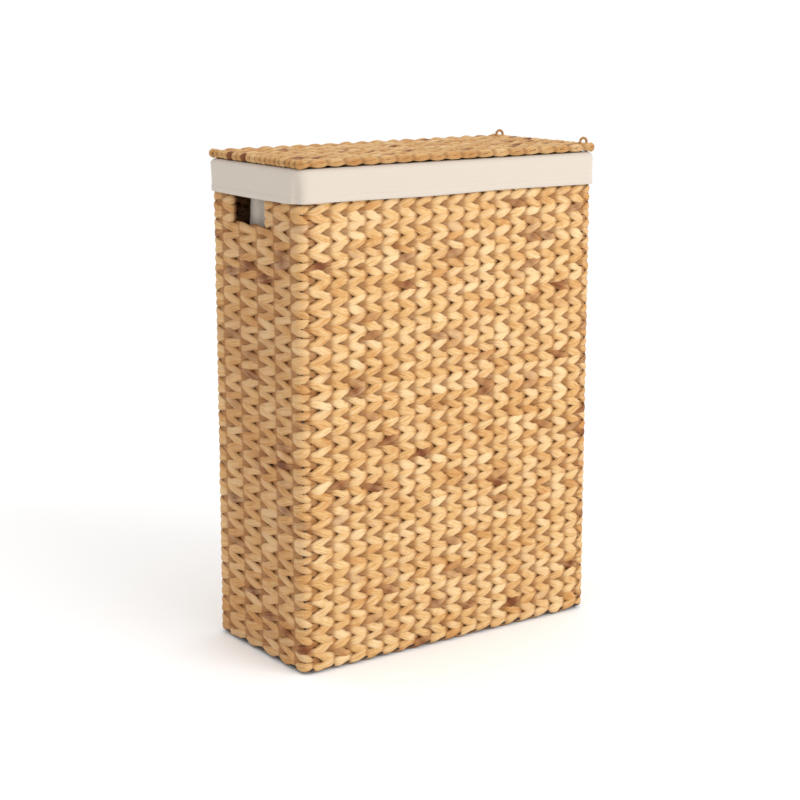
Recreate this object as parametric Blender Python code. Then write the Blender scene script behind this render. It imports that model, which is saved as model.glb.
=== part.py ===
"""Woven laundry hamper: a wire cage with strands twined round it, a cotton liner whose top
folds over the rim, and a woven lid that two cord loops hinge to one end.

Metres, +Z up. The origin is on the floor, under the middle of the hamper. +X is the hinge end.
"""

from math import cos, pi, radians, sin

import bmesh
import bpy
from mathutils import Matrix, Vector

# Driving dimensions
WIDTH = 0.457  # outside of the woven walls, along X
DEPTH = 0.213  # outside of the woven walls, along Y
RIM_TOP = 0.618  # top of the liner where it folds over the rim
WALL = 0.013  # thickness of the twined wall
BASE = 0.010  # thickness of the twined base
GAP = 0.0003  # between pieces that touch

# Wire cage
ROD_R = 0.003
POST_R = 0.0025
STAKE_R = 0.0015
CROSS_R = 0.00125
CORNER_R = 0.0075  # bend of the rods, on their centre line
LONG_COLUMNS = 18  # stake spaces along X
CROSS_INSET = 0.010  # from a rod to the stakes' nearest cross wire
CROSS_REACH = 0.004  # a cross wire's end, past the last stake
WELD = 0.0005  # how deep welded wires sink into each other
RUN_IN = 0.0015  # how deep a wire's end runs into the rod that it is welded to

# Hand holes, in the end walls
HOLE_LOW = 0.540
HOLE_HIGH = 0.588
JAMB_FRONT = -0.0275  # the stakes beside the hole
JAMB_BACK = 0.0555
END_COLUMNS = (2, 2, 1)  # stake spaces in front of the hole, under it and behind it
JAMB = 0.004  # from a jamb stake to the hole
SILL = 0.006  # from the hole down to the cross wire under it

# Liner
CLOTH = 0.0012
CUFF_DROP = 0.040  # outside leg of the fold, below the rim top
CUFF_INSIDE = 0.022  # inside leg of the fold
BAG_GAP = 0.0045  # from the wall to the hanging bag
BAG_TOP = 0.006  # from the rim rod down to the bag panels' top

# Lid and hinge
LID = 0.010
LID_ROUND = 0.0045  # rounding of the lid's edges
LID_GAP = 0.0012  # between the lid and the folded liner
LID_ROD_R = 0.0025
LOOP_CORD_R = 0.0018
LOOP_R = 0.0056  # half width of a loop, on its centre line
LOOP_Y = 0.0875
LOOP_RISE = 0.008  # top of a loop, above the lid
SLOT = 0.0056  # width of the slots that the loops pass through
SLOT_CLEAR = 0.0015  # round a loop as it turns in a slot

# Worked out from those
HALF_X = (WIDTH - WALL) / 2  # middle of the wall, where the cage stands
HALF_Y = (DEPTH - WALL) / 2
CUFF_R = WALL / 2 + GAP + CLOTH
RIM_Z = RIM_TOP - CUFF_R  # centre of the top rod
FOOT_Z = WALL / 2  # centre of the bottom rod
LID_Z = RIM_TOP + LID_GAP + LID / 2  # centre of the lid's rod
LOOP_TOP_Z = LID_Z + LID / 2 + LOOP_RISE - LOOP_CORD_R - LOOP_R  # centre of a loop's upper bow
LEAD = 0.001  # straight stretch beside each bent corner
END_WALL_Y = HALF_Y - CORNER_R - LEAD  # half length of an end wall, between the corners

WIRE_SIDES = 6
CHANNEL_SIDES = 4
CORNER_STEPS = 4
ROUND_STEPS = 6
MERGE = 1e-5  # points nearer than this are one
SMOOTH_UP_TO = radians(70)  # sharper edges stay sharp


def collection(name):
    made = bpy.data.collections.new(name)
    bpy.context.scene.collection.children.link(made)
    return made


def material(name, colour, roughness, metallic=0.0):
    made = bpy.data.materials.new(name)
    made.use_nodes = True
    shader = made.node_tree.nodes["Principled BSDF"]
    shader.inputs["Base Color"].default_value = (*colour, 1.0)
    shader.inputs["Roughness"].default_value = roughness
    shader.inputs["Metallic"].default_value = metallic
    return made


for old in list(bpy.data.objects):
    bpy.data.objects.remove(old)

PARTS = collection("woven_laundry_hamper")
TOOLS = collection("cutters")
FINISHES = {
    "weave": ("hyacinth", (0.72, 0.47, 0.23), 0.75),
    "steel": ("cage_steel", (0.10, 0.09, 0.08), 0.5, 1.0),
    "cotton": ("liner_cotton", (0.82, 0.76, 0.68), 0.9),
}


def add(name, data, finish=None, group=PARTS):
    """A new object of this mesh or curve, with a material of its own.
    In TOOLS it is a helper and not a part."""
    made = bpy.data.objects.new(name, data)
    group.objects.link(made)
    if group is TOOLS:
        made.hide_render = True
        made.display_type = "WIRE"
    elif finish:
        label, *values = FINISHES[finish]
        data.materials.clear()
        data.materials.append(material(f"{name}_{label}", *values))
    return made


def mesh_object(name, shape, finish, group):
    """Turns a bmesh into an object."""
    mesh = bpy.data.meshes.new(name)
    bmesh.ops.recalc_face_normals(shape, faces=shape.faces)
    shape.to_mesh(mesh)
    shape.free()
    return add(name, mesh, finish, group)


def as_mesh(obj, finish, group):
    """Turns a curve object into a mesh object with its caps welded."""
    bpy.context.view_layer.update()
    graph = bpy.context.evaluated_depsgraph_get()
    shape = bmesh.new()
    shape.from_mesh(bpy.data.meshes.new_from_object(obj.evaluated_get(graph)))
    bmesh.ops.remove_doubles(shape, verts=shape.verts, dist=MERGE)
    name, place = obj.name, obj.matrix_world.copy()
    bpy.data.objects.remove(obj)
    made = mesh_object(name, shape, finish, group)
    made.matrix_world = place
    return made


def poly_curve(name, points, cyclic):
    curve = bpy.data.curves.new(name, "CURVE")
    curve.dimensions = "3D"
    line = curve.splines.new("POLY")
    line.points.add(len(points) - 1)
    for made, (x, y, z) in zip(line.points, points):
        made.co = (x, y, z, 1.0)
    line.use_cyclic_u = cyclic
    return curve


def ring_wire(name, points, radius, finish="steel", group=PARTS):
    """A round wire bent into a closed ring along these points."""
    curve = poly_curve(name, points, True)
    curve.bevel_depth = radius
    curve.bevel_resolution = 2
    return as_mesh(add(name, curve, group=TOOLS), finish, group)


def sweep(name, profile, path, finish):
    """A solid with this closed profile, of (across, up) points, along a level path.
    Across is to the path's right."""
    points = [(-across, up, 0) for across, up in profile]
    outline = add(name + "_profile", poly_curve(name, points, True), group=TOOLS)
    curve = poly_curve(name, path, False)
    curve.twist_mode = "Z_UP"
    curve.bevel_mode = "OBJECT"
    curve.bevel_object = outline
    curve.use_fill_caps = True
    made = as_mesh(add(name, curve, group=TOOLS), finish, PARTS)
    bpy.data.objects.remove(outline)
    return made


def box(name, low, high, finish=None, group=PARTS):
    """A block between two opposite corners."""
    low, high = Vector(low), Vector(high)
    shape = bmesh.new()
    bmesh.ops.create_cube(shape, size=1.0)
    bmesh.ops.scale(shape, vec=high - low, verts=shape.verts)
    bmesh.ops.translate(shape, vec=(low + high) / 2, verts=shape.verts)
    return mesh_object(name, shape, finish, group)


def bars(name, ends, grow=0.0, group=PARTS):
    """Straight bars in one object, each given as (start, end, radius).
    They are round, or square where they grow."""
    sides = CHANNEL_SIDES if grow else WIRE_SIDES
    shape = bmesh.new()
    for start, end, radius in ends:
        start, end = Vector(start), Vector(end)
        corner = (radius + grow) / cos(pi / sides) if grow else radius
        aim = (end - start).to_track_quat("Z", "Y").to_matrix().to_4x4()
        bmesh.ops.create_cone(
            shape,
            cap_ends=True,
            segments=sides,
            radius1=corner,
            radius2=corner,
            depth=(end - start).length,
            matrix=Matrix.Translation((start + end) / 2) @ aim @ Matrix.Rotation(pi / sides, 4, "Z"),
        )
    return mesh_object(name, shape, "steel", group)


def move_origin(made, point):
    """Puts an object's origin at this point and leaves its shape where it is."""
    made.data.transform(Matrix.Translation(-Vector(point)))
    made.location = point


def boolean(target, operation, *others):
    """Joins or cuts target with each of the others, and leaves it a plain mesh."""
    for other in others:
        step = target.modifiers.new(other.name, "BOOLEAN")
        step.operation = operation
        step.solver = "EXACT"
        step.object = other
    bpy.context.view_layer.update()
    graph = bpy.context.evaluated_depsgraph_get()
    mesh = bpy.data.meshes.new_from_object(target.evaluated_get(graph))
    target.modifiers.clear()
    target.data = mesh


def arc(centre, radius, start, end, steps):
    """Points on a level arc, from angle start to angle end."""
    x, y, z = centre
    angles = [start + (end - start) * i / steps for i in range(steps + 1)]
    return [(x + radius * cos(a), y + radius * sin(a), z) for a in angles]


def ring_path(half_x, half_y, z, radius=CORNER_R):
    """A level rectangle with rounded corners, as a closed path."""
    path = []
    for i, (sign_x, sign_y) in enumerate([(1, 1), (-1, 1), (-1, -1), (1, -1)]):
        centre = (sign_x * (half_x - radius), sign_y * (half_y - radius), z)
        path += arc(centre, radius, i * pi / 2, (i + 1) * pi / 2, CORNER_STEPS)
    return path


def long_wall_path(side):
    """The middle of a long wall and of the corners at its ends. Side is -1 at the front and 1 at the back.
    The hamper's outside is on the path's right."""
    centre_x, centre_y = HALF_X - CORNER_R, -(HALF_Y - CORNER_R)
    path = [
        (-HALF_X, -END_WALL_Y, 0),
        *arc((-centre_x, centre_y, 0), CORNER_R, pi, 1.5 * pi, CORNER_STEPS),
        (-centre_x + LEAD, -HALF_Y, 0),
        (centre_x - LEAD, -HALF_Y, 0),
        *arc((centre_x, centre_y, 0), CORNER_R, 1.5 * pi, 2 * pi, CORNER_STEPS),
        (HALF_X, -END_WALL_Y, 0),
    ]
    return path if side < 0 else [(-x, -y, z) for x, y, z in path]


def end_wall_path(side, start=-END_WALL_Y + GAP, end=END_WALL_Y - GAP):
    """The middle of an end wall between two places along Y. Side is 1 at the hinge end.
    The hamper's outside is on the path's right."""
    path = [(side * HALF_X, start, 0), (side * HALF_X, end, 0)]
    return path if side > 0 else path[::-1]


def half_round(radius, backwards=False):
    """The upper half of a circle about the rim rod, as profile points."""
    points = [
        (radius * cos(pi * i / ROUND_STEPS), RIM_Z + radius * sin(pi * i / ROUND_STEPS))
        for i in range(ROUND_STEPS + 1)
    ]
    return points[::-1] if backwards else points


def slab_profile(low, high):
    half = WALL / 2
    return [(half, low), (half, high), (-half, high), (-half, low)]


def rim_profile(low):
    """A wall from this height up, rounded over the rim rod."""
    return [(WALL / 2, low), *half_round(WALL / 2), (-WALL / 2, low)]


def cuff_profile():
    """The folded top of the liner, with its longer leg outside."""
    outside, inside = RIM_TOP - CUFF_DROP, RIM_TOP - CUFF_INSIDE
    inner = CUFF_R - CLOTH
    return [
        (CUFF_R, outside),
        *half_round(CUFF_R),
        (-CUFF_R, inside),
        (-inner, inside),
        *half_round(inner, backwards=True),
        (inner, outside),
    ]


def spread(start, end, columns):
    """Evenly spaced places between two ends, which aren't among them."""
    return [start + (end - start) * i / columns for i in range(1, columns)]


def stake_places(side_name):
    """Where the stakes of one wall stand, as (x, y) points, without the corner posts."""
    if side_name in ("front", "back"):
        y = -HALF_Y if side_name == "front" else HALF_Y
        return [(x, y) for x in spread(-HALF_X, HALF_X, LONG_COLUMNS)]
    x = -HALF_X if side_name == "left" else HALF_X
    edges = (-HALF_Y, JAMB_FRONT, JAMB_BACK, HALF_Y)
    places = [JAMB_FRONT, JAMB_BACK]
    for columns, low, high in zip(END_COLUMNS, edges, edges[1:]):
        places += spread(low, high, columns)
    return [(x, y) for y in sorted(places)]


def inward(place, inset):
    """A wall's place along X or Y, moved towards the middle of the hamper."""
    return place - inset if place > 0 else place + inset


def stakes(side_name, group=PARTS, grow=0.0):
    """The upright wires of one wall, welded to cross wires along their inner side.
    Grown, it is the cutter for their channel, which runs into the rods' channels so that it's open."""
    places = stake_places(side_name)
    end_wall = side_name in ("left", "right")
    foot = FOOT_Z + ROD_R + GAP - (LEAD if grow else 0)
    head = RIM_Z - ROD_R - GAP + (LEAD if grow else 0)
    uprights = []
    for x, y in places:
        if end_wall and JAMB_FRONT < y < JAMB_BACK:
            uprights.append(((x, y, foot), (x, y, HOLE_LOW - SILL), STAKE_R))
        else:
            uprights.append(((x, y, foot), (x, y, head), STAKE_R))

    (x0, y0), (x1, y1) = places[0], places[-1]
    levels = (FOOT_Z + CROSS_INSET, RIM_Z - CROSS_INSET)
    if end_wall:
        x = inward(x0, STAKE_R + CROSS_R - WELD)
        runs = [(y0, y1, z) for z in levels] + [(JAMB_FRONT, JAMB_BACK, HOLE_LOW - SILL)]
        crosses = [((x, low - CROSS_REACH, z), (x, high + CROSS_REACH, z), CROSS_R) for low, high, z in runs]
    else:
        y = inward(y0, STAKE_R + CROSS_R - WELD)
        crosses = [((x0 - CROSS_REACH, y, z), (x1 + CROSS_REACH, y, z), CROSS_R) for z in levels]

    ending = "_channel" if grow else ""
    made = bars(f"{side_name}_stakes{ending}", uprights, grow, group)
    across = bars(f"{side_name}_cross{ending}", crosses, grow, TOOLS)
    boolean(made, "UNION", across)
    return made


def crossed_ring(name, z, ring_r, group=PARTS, grow=0.0):
    """A rod bent into the hamper's rectangle, with a wire welded across it at each stake
    of the long walls."""
    ring = ring_wire(name, ring_path(HALF_X, HALF_Y, z), ring_r + grow, group=group)
    reach, level = HALF_Y - ring_r + RUN_IN, z + WELD
    places = spread(-HALF_X, HALF_X, LONG_COLUMNS)
    wires = [((x, -reach, level), (x, reach, level), STAKE_R) for x in places]
    boolean(ring, "UNION", bars(name + "_wires", wires, grow, TOOLS))
    return ring


def corner_posts(group=PARTS, grow=0.0):
    """An upright in each bend of the rods."""
    inset = CORNER_R * (1 - cos(pi / 4))
    reach = LEAD if grow else 0
    made = []
    for long_side, sign_y in (("front", -1), ("back", 1)):
        for end_side, sign_x in (("left", -1), ("right", 1)):
            x, y = sign_x * (HALF_X - inset), sign_y * (HALF_Y - inset)
            low, high = FOOT_Z + ROD_R + GAP - reach, RIM_Z - ROD_R - GAP + reach
            name = f"corner_post_{long_side}_{end_side}" + ("_channel" if grow else "")
            made.append(bars(name, [((x, y, low), (x, y, high), POST_R)], grow, group))
    return made


def hinge_slots(name, low, high, reach_in, reach_out):
    """Cutters for the slots that the two loops pass through, at the hinge end."""
    made = []
    for place, y in (("front", -LOOP_Y), ("back", LOOP_Y)):
        near, far = (HALF_X - reach_in, y - SLOT / 2, low), (HALF_X + reach_out, y + SLOT / 2, high)
        made.append(box(f"{name}_slot_{place}", near, far, group=TOOLS))
    return made


def long_walls(rim, base, posts):
    """The front and back walls, which turn the corners."""
    for side, name, own_posts in ((-1, "front", posts[:2]), (1, "back", posts[2:])):
        wall = sweep(f"{name}_weave", rim_profile(0), long_wall_path(side), "weave")
        boolean(wall, "DIFFERENCE", rim, base, *own_posts, stakes(name, TOOLS, GAP))


def end_walls(rim, base):
    """The end walls, each in four pieces round its hand hole."""
    low = RIM_Z - LOOP_R - LOOP_CORD_R - WELD
    slots = hinge_slots("wall", low, RIM_TOP, CUFF_R, CUFF_R)
    for side, name in ((-1, "left"), (1, "right")):
        channel = stakes(name, TOOLS, GAP)
        beside = slab_profile(HOLE_LOW + GAP, HOLE_HIGH - GAP)
        pieces = {
            "below": (slab_profile(0, HOLE_LOW), end_wall_path(side), [base]),
            "above": (rim_profile(HOLE_HIGH), end_wall_path(side), [rim, *slots] if side > 0 else [rim]),
            "in_front_of": (beside, end_wall_path(side, end=JAMB_FRONT + JAMB), []),
            "behind": (beside, end_wall_path(side, start=JAMB_BACK - JAMB), []),
        }
        for place, (profile, path, cutters) in pieces.items():
            wall = sweep(f"{name}_weave_{place}_handle", profile, path, "weave")
            boolean(wall, "DIFFERENCE", *cutters, channel)


def woven_base(base):
    """The flat twined bottom, inside the walls. Gives the height of its top."""
    half_x, half_y = HALF_X - WALL / 2 - GAP, HALF_Y - WALL / 2 - GAP
    low, high = FOOT_Z - BASE / 2, FOOT_Z + BASE / 2
    boolean(box("base_weave", (-half_x, -half_y, low), (half_x, half_y, high), "weave"), "DIFFERENCE", base)
    return high


def liner(floor_z):
    """The bag that hangs in the hamper, as its sewn panels, and the four sides of its folded top."""
    half_x, half_y = HALF_X - WALL / 2 - BAG_GAP, HALF_Y - WALL / 2 - BAG_GAP
    box("liner_floor", (-half_x, -half_y, floor_z), (half_x, half_y, floor_z + CLOTH), "cotton")
    low, high = floor_z + CLOTH + GAP, RIM_Z - BAG_TOP
    inner_y = half_y - CLOTH - GAP
    for sign, name in ((-1, "front"), (1, "back")):
        near, far = sorted((sign * half_y, sign * (half_y - CLOTH)))
        box(f"liner_{name}_panel", (-half_x, near, low), (half_x, far, high), "cotton")
    for sign, name in ((-1, "left"), (1, "right")):
        near, far = sorted((sign * half_x, sign * (half_x - CLOTH)))
        box(f"liner_{name}_panel", (near, -inner_y, low), (far, inner_y, high), "cotton")

    for side, name in ((-1, "front"), (1, "back")):
        sweep(f"liner_cuff_{name}", cuff_profile(), long_wall_path(side), "cotton")
    sweep("liner_cuff_left", cuff_profile(), end_wall_path(-1), "cotton")
    cuff = sweep("liner_cuff_right", cuff_profile(), end_wall_path(1), "cotton")
    low, reach = RIM_Z - LOOP_R - LOOP_CORD_R - WELD, CUFF_R + SLOT_CLEAR
    boolean(cuff, "DIFFERENCE", *hinge_slots("cuff", low, RIM_TOP + SLOT_CLEAR, reach, reach))


def lid():
    """A welded frame inside a woven slab with round edges, slotted where the loops hold its end rod.
    The lid turns about that rod's middle."""
    frame = crossed_ring("lid_wire_frame", LID_Z, LID_ROD_R)
    channel = crossed_ring("lid_channel", LID_Z, LID_ROD_R, TOOLS, GAP)
    half = LID / 2
    shape = bmesh.new()
    plan = ring_path(HALF_X + half, HALF_Y + half, LID_Z - half, radius=CORNER_R + half)
    low = shape.faces.new([shape.verts.new(point) for point in plan])
    grown = bmesh.ops.extrude_face_region(shape, geom=[low])["geom"]
    top = [v for v in grown if isinstance(v, bmesh.types.BMVert)]
    bmesh.ops.translate(shape, vec=(0, 0, LID), verts=top)
    rims = [e for e in shape.edges if abs(e.verts[0].co.z - e.verts[1].co.z) < MERGE]
    bmesh.ops.bevel(
        shape,
        geom=rims,
        offset=LID_ROUND,
        segments=3,
        profile=0.5,
        affect="EDGES",
        material=-1,
    )
    slab = mesh_object("lid_weave", shape, "weave", PARTS)
    reach = LOOP_TOP_Z + LOOP_R + LOOP_CORD_R - LID_Z + SLOT_CLEAR
    boolean(slab, "DIFFERENCE", channel, *hinge_slots("lid", LID_Z - LID, LID_Z + LID, reach, LID))
    for piece in (frame, slab):
        move_origin(piece, (HALF_X, 0, LID_Z))


def hinge_loops():
    """Two cord rings, each round the rim rod and the lid's end rod, with a bow standing above the lid.
    They swing about the rim rod's middle."""
    for name, y in (("front", -LOOP_Y), ("back", LOOP_Y)):
        points = []
        for centre, start in ((LOOP_TOP_Z, 0.0), (RIM_Z, pi)):
            bow = arc((HALF_X, centre, 0), LOOP_R, start, start + pi, ROUND_STEPS)
            points += [(x, y, z) for x, z, _ in bow]
        loop = ring_wire(f"hinge_loop_{name}", points, LOOP_CORD_R, finish="weave")
        move_origin(loop, (HALF_X, y, RIM_Z))


ring_wire("top_rim_rod", ring_path(HALF_X, HALF_Y, RIM_Z), ROD_R)
crossed_ring("base_wire_frame", FOOT_Z, ROD_R)
corner_posts()
for wall_name in ("front", "back", "left", "right"):
    stakes(wall_name)
rim_channel = ring_wire("rim_channel", ring_path(HALF_X, HALF_Y, RIM_Z), ROD_R + GAP, group=TOOLS)
base_channel = crossed_ring("base_channel", FOOT_Z, ROD_R, TOOLS, GAP)
long_walls(rim_channel, base_channel, corner_posts(TOOLS, GAP))
end_walls(rim_channel, base_channel)
liner(woven_base(base_channel) + GAP)
lid()
hinge_loops()

for piece in PARTS.objects:
    piece.data.shade_smooth()
    piece.data.set_sharp_from_angle(angle=SMOOTH_UP_TO)
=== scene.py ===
from math import cos, pi, radians, sin

import bmesh
import bpy
import numpy as np
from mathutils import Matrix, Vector


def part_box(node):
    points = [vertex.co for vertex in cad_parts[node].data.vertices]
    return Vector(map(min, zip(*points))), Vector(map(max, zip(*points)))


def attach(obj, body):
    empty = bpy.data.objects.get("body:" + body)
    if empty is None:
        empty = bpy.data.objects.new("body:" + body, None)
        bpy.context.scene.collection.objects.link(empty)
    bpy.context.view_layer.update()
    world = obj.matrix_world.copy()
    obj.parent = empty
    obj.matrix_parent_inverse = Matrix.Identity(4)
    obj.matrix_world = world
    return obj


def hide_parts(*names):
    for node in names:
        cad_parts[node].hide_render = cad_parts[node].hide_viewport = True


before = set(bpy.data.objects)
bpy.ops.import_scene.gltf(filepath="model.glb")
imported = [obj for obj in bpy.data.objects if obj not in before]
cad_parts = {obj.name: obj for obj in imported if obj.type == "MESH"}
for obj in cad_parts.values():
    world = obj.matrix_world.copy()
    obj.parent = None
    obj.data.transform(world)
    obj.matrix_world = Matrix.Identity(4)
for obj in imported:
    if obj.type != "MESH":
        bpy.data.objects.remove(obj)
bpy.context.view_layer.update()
print("frame loaded:", len(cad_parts), "nodes")


# Places that the frame gives

def boxOf(node):
    low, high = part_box(node)
    return Vector(low), Vector(high)


rodLow, rodHigh = boxOf("top_rim_rod")
rimRod = (rodHigh.z - rodLow.z) / 2
halfX = rodHigh.x - rimRod  # middle of the walls
halfY = rodHigh.y - rimRod
rimZ = (rodLow.z + rodHigh.z) / 2
footLow, footHigh = boxOf("base_wire_frame")
footZ = (footLow.z + footHigh.z) / 2
lidRodLow, lidRodHigh = boxOf("lid_wire_frame")
lidZ = (lidRodLow.z + lidRodHigh.z) / 2
cuffFoot = boxOf("liner_cuff_front")[0].z
holeLow = boxOf("left_weave_below_handle")[1].z
holeHigh = boxOf("left_weave_above_handle")[0].z
bagFloor = boxOf("liner_floor")[1].z
loopLow, loopHigh = boxOf("hinge_loop_back")
loopY = (loopLow.y + loopHigh.y) / 2

wallShape = {
    "longColumns": 18,
    "jambFront": -0.0275,  # stakes beside the hand holes
    "jambBack": 0.0555,
    "endColumns": (2, 2, 1),
    "cornerRadius": 0.0075,
    "rows": 54,
    "firstRow": 0.0102,  # height of the lowest row's middle
    "lastRow": 0.6045,
    "seed": 41,
}

strandShape = {
    "reach": 0.0033,  # how far a strand swings out and in as it passes the stakes
    "reachUnderCuff": 0.0026,
    "turn": 0.0024,  # half width of the turn round a stake beside a hand hole
    "lag": 0.13,  # in columns, how late it swings, so that the end of each leaf lies over the next
    "endLag": -0.06,  # how late it swings on the end walls
    "rise": 0.0040,  # how far it climbs or drops on its way
    "bottomRise": 0.6,  # how much of the climb is left in the lowest row
    "endRise": 0.0035,  # how far it climbs or drops on the end walls
    "endReach": 0.0021,  # how far a strand swings on the end walls, which lie flatter
    "halfWidth": 0.0064,  # across the leaf, in front of a stake
    "halfWidthInGap": 0.0056,
    "halfThickness": 0.0028,
    "unevenWidth": 0.15,
    "cornerReach": 0.5,  # how much of the swing is left where a strand wraps a corner
    "besideCorner": 0.60,  # how wide a leaf is in the first gap of a long wall
    "cornerGap": 0.34,  # in columns, how far past the corner that gap is
    "endThickness": 0.86,
    "atHandHole": 0.4,  # how much of its climb is left in the row under a hand hole
    "endTone": -0.01,  # lightness added on the end walls; this and the next value make them darker and browner
    "endBrowning": 0.32,
    "endPlain": 1.3,  # how much less painted shade their leaves get where they tuck in
    "perColumn": 8,
    "sides": 8,
    "turnSteps": 6,
}


# Walks round the middle of the walls

def roundedWalk(hx, hy, radius, arcSteps=16):
    # distance, then x, y and outward angle, along a rounded rectangle from its front left corner
    walk = []
    for turn, (signX, signY) in enumerate([(-1, -1), (1, -1), (1, 1), (-1, 1)]):
        for step in range(arcSteps + 1):
            angle = pi + turn * pi / 2 + step * pi / 2 / arcSteps
            x = signX * (hx - radius) + radius * cos(angle)
            y = signY * (hy - radius) + radius * sin(angle)
            walk.append((x, y, angle))
    middle = arcSteps // 2
    first = walk[:middle]
    walk = walk[middle:] + [(x, y, angle + 2 * pi) for x, y, angle in first]
    walk.append((walk[0][0], walk[0][1], walk[0][2] + 2 * pi))
    table = np.array(walk)
    steps = np.hypot(np.diff(table[:, 0]), np.diff(table[:, 1]))
    return np.concatenate([[0], np.cumsum(steps)]), table


walkAt, walkTable = roundedWalk(halfX, halfY, wallShape["cornerRadius"])
wallRound = walkAt[-1]


def endPlaces():
    edges = (-halfY, wallShape["jambFront"], wallShape["jambBack"], halfY)
    places = []
    for count, low, high in zip(wallShape["endColumns"], edges, edges[1:]):
        places += [low + (high - low) * i / count for i in range(count)]
    return places[1:]


def stakeDistances():
    # how far round the wall each stake stands, the corner posts among them
    halfWay = wallRound / 2
    along = [2 * halfX * i / wallShape["longColumns"] for i in range(1, wallShape["longColumns"])]
    bend = wallShape["cornerRadius"] * (pi / 4 - 1)
    longSide = 2 * halfX + 2 * bend
    front = [0] + [bend + a for a in along]
    right = [longSide] + [longSide + bend + halfY + y for y in endPlaces()]
    back = [halfWay] + [halfWay + bend + a for a in along]
    left = [halfWay + longSide]
    left += [halfWay + longSide + bend + halfY - y for y in reversed(endPlaces())]
    return np.array(front + right + back + left + [wallRound])


stakeAt = stakeDistances()
columns = len(stakeAt) - 1
jambColumns = {  # numbers of the stakes beside the hand holes, counted round from the front left corner
    "rightFront": wallShape["longColumns"] + wallShape["endColumns"][0],
    "rightBack": wallShape["longColumns"] + sum(wallShape["endColumns"][:2]),
}
jambColumns["leftBack"] = columns - jambColumns["rightBack"] + wallShape["longColumns"]
jambColumns["leftFront"] = columns - wallShape["endColumns"][0]


def onWall(column, slide, outward, height):
    # points given as a column number, metres past it, metres out from the wall's middle, and a height
    whole = np.mod(column, columns)
    distance = np.mod(np.interp(whole, np.arange(columns + 1), stakeAt) + slide, wallRound)
    x = np.interp(distance, walkAt, walkTable[:, 0])
    y = np.interp(distance, walkAt, walkTable[:, 1])
    angle = np.interp(distance, walkAt, walkTable[:, 2])
    return np.stack([x + outward * np.cos(angle), y + outward * np.sin(angle), height], axis=1)


# Colours and shared effects

def shade(red, green, blue):
    # a screen colour, 0 to 255, as the linear colour that a shader takes
    return tuple((v / 255) ** 2.2 for v in (red, green, blue)) + (1.0,)


def effectGroup(name, inputs, outputs):
    group = bpy.data.node_groups.new(name, "ShaderNodeTree")
    for label, kind, value in inputs:
        socket = group.interface.new_socket(label, in_out="INPUT", socket_type=kind)
        if value is not None:
            socket.default_value = value
    for label, kind in outputs:
        group.interface.new_socket(label, in_out="OUTPUT", socket_type=kind)
    return group, group.nodes.new("NodeGroupInput"), group.nodes.new("NodeGroupOutput")


def mathNode(tree, operation, first, second=0.5, third=None):
    node = tree.nodes.new("ShaderNodeMath")
    node.operation = operation
    for socket, value in zip(node.inputs, (first, second, third)):
        if hasattr(value, "is_linked"):
            tree.links.new(value, socket)
        elif value is not None:
            socket.default_value = value
    return node.outputs[0]


def noiseNode(tree, vector, scale, detail=3.0, roughness=0.55):
    node = tree.nodes.new("ShaderNodeTexNoise")
    node.inputs["Scale"].default_value = scale
    node.inputs["Detail"].default_value = detail
    node.inputs["Roughness"].default_value = roughness
    tree.links.new(vector, node.inputs["Vector"])
    return node


def stretched(tree, vector, scale):
    node = tree.nodes.new("ShaderNodeMapping")
    node.inputs["Scale"].default_value = scale
    tree.links.new(vector, node.inputs["Vector"])
    return node.outputs["Vector"]


def mixColour(tree, blend, factor, first, second):
    node = tree.nodes.new("ShaderNodeMix")
    node.data_type = "RGBA"
    node.blend_type = blend
    for socket, value in ((node.inputs[0], factor), (node.inputs[6], first), (node.inputs[7], second)):
        if hasattr(value, "is_linked"):
            tree.links.new(value, socket)
        else:
            socket.default_value = value
    return node.outputs[2]


def ramp(tree, factor, stops):
    node = tree.nodes.new("ShaderNodeValToRGB")
    while len(node.color_ramp.elements) < len(stops):
        node.color_ramp.elements.new(0.5)
    for element, (place, colour) in zip(node.color_ramp.elements, stops):
        element.position = place
        element.color = colour
    tree.links.new(factor, node.inputs["Fac"])
    return node.outputs["Color"]


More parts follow.
